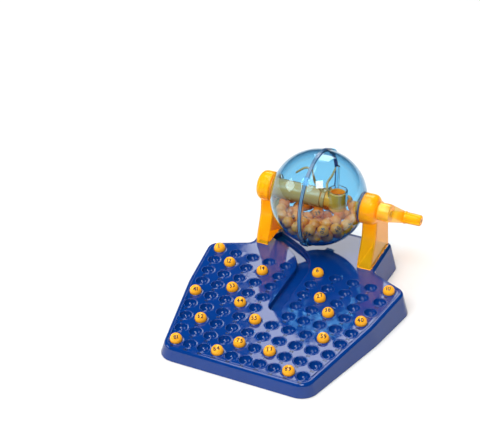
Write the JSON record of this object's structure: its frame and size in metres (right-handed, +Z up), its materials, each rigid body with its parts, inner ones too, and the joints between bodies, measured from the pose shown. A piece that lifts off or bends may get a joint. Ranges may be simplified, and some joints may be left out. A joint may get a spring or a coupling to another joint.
{
  "type": "bingo cage",
  "caption": "Clear bingo ball globe turned by a crank between two hollow legs, on a sloping tray of ball cups with a return gutter.",
  "frame": {"origin": "on the table under the middle of the tray's footprint", "axes": "+X along the globe's axle towards the crank, +Y towards the globe and the back of the tray, +Z up"},
  "size_m": [0.2306, 0.2603, 0.1423],
  "materials": {
    "blue_plastic": "glossy moulded deep blue",
    "amber_plastic": "glossy translucent amber",
    "yellow_plastic": "glossy translucent yellow",
    "pale_yellow_plastic": "glossy pale yellow",
    "clear_blue_plastic": "clear sky-blue, polished",
    "clear_plastic": "clear, polished",
    "ball_plastic": "satin yellow-orange with printed numbers",
    "steel": "zinc-plated"
  },
  "bodies": {
    "root": {"tray": "blue_plastic", "left_leg_shell": "amber_plastic", "left_leg_cover": "amber_plastic", "right_leg_shell": "amber_plastic", "right_leg_cover": "amber_plastic", "outlet_ramp": "amber_plastic", "outlet_tube": "yellow_plastic", "catch_cup": "yellow_plastic", "ball_fingers": "pale_yellow_plastic", "cup_hoop": "clear_blue_plastic", "globe_balls": "ball_plastic"},
    "globe": {"globe_left_half": "clear_blue_plastic", "globe_right_half": "clear_blue_plastic", "seam_clips": "clear_blue_plastic", "drive_hub": "clear_plastic", "drive_shaft": "amber_plastic", "shaft_nut": "amber_plastic", "crank_arm": "amber_plastic", "crank_screw": "steel", "grip_screw": "steel"},
    "grip": {"crank_grip": "amber_plastic"},
    "ball_1": {"ball_1": "ball_plastic"},
    "ball_6": {"ball_6": "ball_plastic"},
    "ball_10": {"ball_10": "ball_plastic"},
    "ball_12": {"ball_12": "ball_plastic"},
    "ball_14": {"ball_14": "ball_plastic"},
    "ball_27": {"ball_27": "ball_plastic"},
    "ball_33": {"ball_33": "ball_plastic"},
    "ball_38": {"ball_38": "ball_plastic"},
    "ball_40": {"ball_40": "ball_plastic"},
    "ball_41": {"ball_41": "ball_plastic"},
    "ball_44": {"ball_44": "ball_plastic"},
    "ball_55": {"ball_55": "ball_plastic"},
    "ball_59": {"ball_59": "ball_plastic"},
    "ball_62": {"ball_62": "ball_plastic"},
    "ball_75": {"ball_75": "ball_plastic"},
    "ball_77": {"ball_77": "ball_plastic"},
    "ball_81": {"ball_81": "ball_plastic"},
    "ball_84": {"ball_84": "ball_plastic"},
    "ball_89": {"ball_89": "ball_plastic"}
  },
  "joints": [
    {"name": "globe_spin", "type": "hinge", "parent": "root", "child": "globe", "pos_m": [0, 0.0789, 0.0906], "axis": [1, 0, 0], "continuous": true},
    {"name": "grip_spin", "type": "hinge", "parent": "globe", "child": "grip", "pos_m": [0.09, 0.10901, 0.07179], "axis": [1, 0, 0], "continuous": true},
    {"name": "ball_1_lift", "type": "slide", "parent": "root", "child": "ball_1", "axis": [0, 0, 1], "range_m": [0, 0.02]},
    {"name": "ball_6_lift", "type": "slide", "parent": "root", "child": "ball_6", "axis": [0, 0, 1], "range_m": [0, 0.02]},
    {"name": "ball_10_lift", "type": "slide", "parent": "root", "child": "ball_10", "axis": [0, 0, 1], "range_m": [0, 0.02]},
    {"name": "ball_12_lift", "type": "slide", "parent": "root", "child": "ball_12", "axis": [0, 0, 1], "range_m": [0, 0.02]},
    {"name": "ball_14_lift", "type": "slide", "parent": "root", "child": "ball_14", "axis": [0, 0, 1], "range_m": [0, 0.02]},
    {"name": "ball_27_lift", "type": "slide", "parent": "root", "child": "ball_27", "axis": [0, 0, 1], "range_m": [0, 0.02]},
    {"name": "ball_33_lift", "type": "slide", "parent": "root", "child": "ball_33", "axis": [0, 0, 1], "range_m": [0, 0.02]},
    {"name": "ball_38_lift", "type": "slide", "parent": "root", "child": "ball_38", "axis": [0, 0, 1], "range_m": [0, 0.02]},
    {"name": "ball_40_lift", "type": "slide", "parent": "root", "child": "ball_40", "axis": [0, 0, 1], "range_m": [0, 0.02]},
    {"name": "ball_41_lift", "type": "slide", "parent": "root", "child": "ball_41", "axis": [0, 0, 1], "range_m": [0, 0.02]},
    {"name": "ball_44_lift", "type": "slide", "parent": "root", "child": "ball_44", "axis": [0, 0, 1], "range_m": [0, 0.02]},
    {"name": "ball_55_lift", "type": "slide", "parent": "root", "child": "ball_55", "axis": [0, 0, 1], "range_m": [0, 0.02]},
    {"name": "ball_59_lift", "type": "slide", "parent": "root", "child": "ball_59", "axis": [0, 0, 1], "range_m": [0, 0.02]},
    {"name": "ball_62_lift", "type": "slide", "parent": "root", "child": "ball_62", "axis": [0, 0, 1], "range_m": [0, 0.02]},
    {"name": "ball_75_lift", "type": "slide", "parent": "root", "child": "ball_75", "axis": [0, 0, 1], "range_m": [0, 0.02]},
    {"name": "ball_77_lift", "type": "slide", "parent": "root", "child": "ball_77", "axis": [0, 0, 1], "range_m": [0, 0.02]},
    {"name": "ball_81_lift", "type": "slide", "parent": "root", "child": "ball_81", "axis": [0, 0, 1], "range_m": [0, 0.02]},
    {"name": "ball_84_lift", "type": "slide", "parent": "root", "child": "ball_84", "axis": [0, 0, 1], "range_m": [0, 0.02]},
    {"name": "ball_89_lift", "type": "slide", "parent": "root", "child": "ball_89", "axis": [0, 0, 1], "range_m": [0, 0.02]}
  ]
}
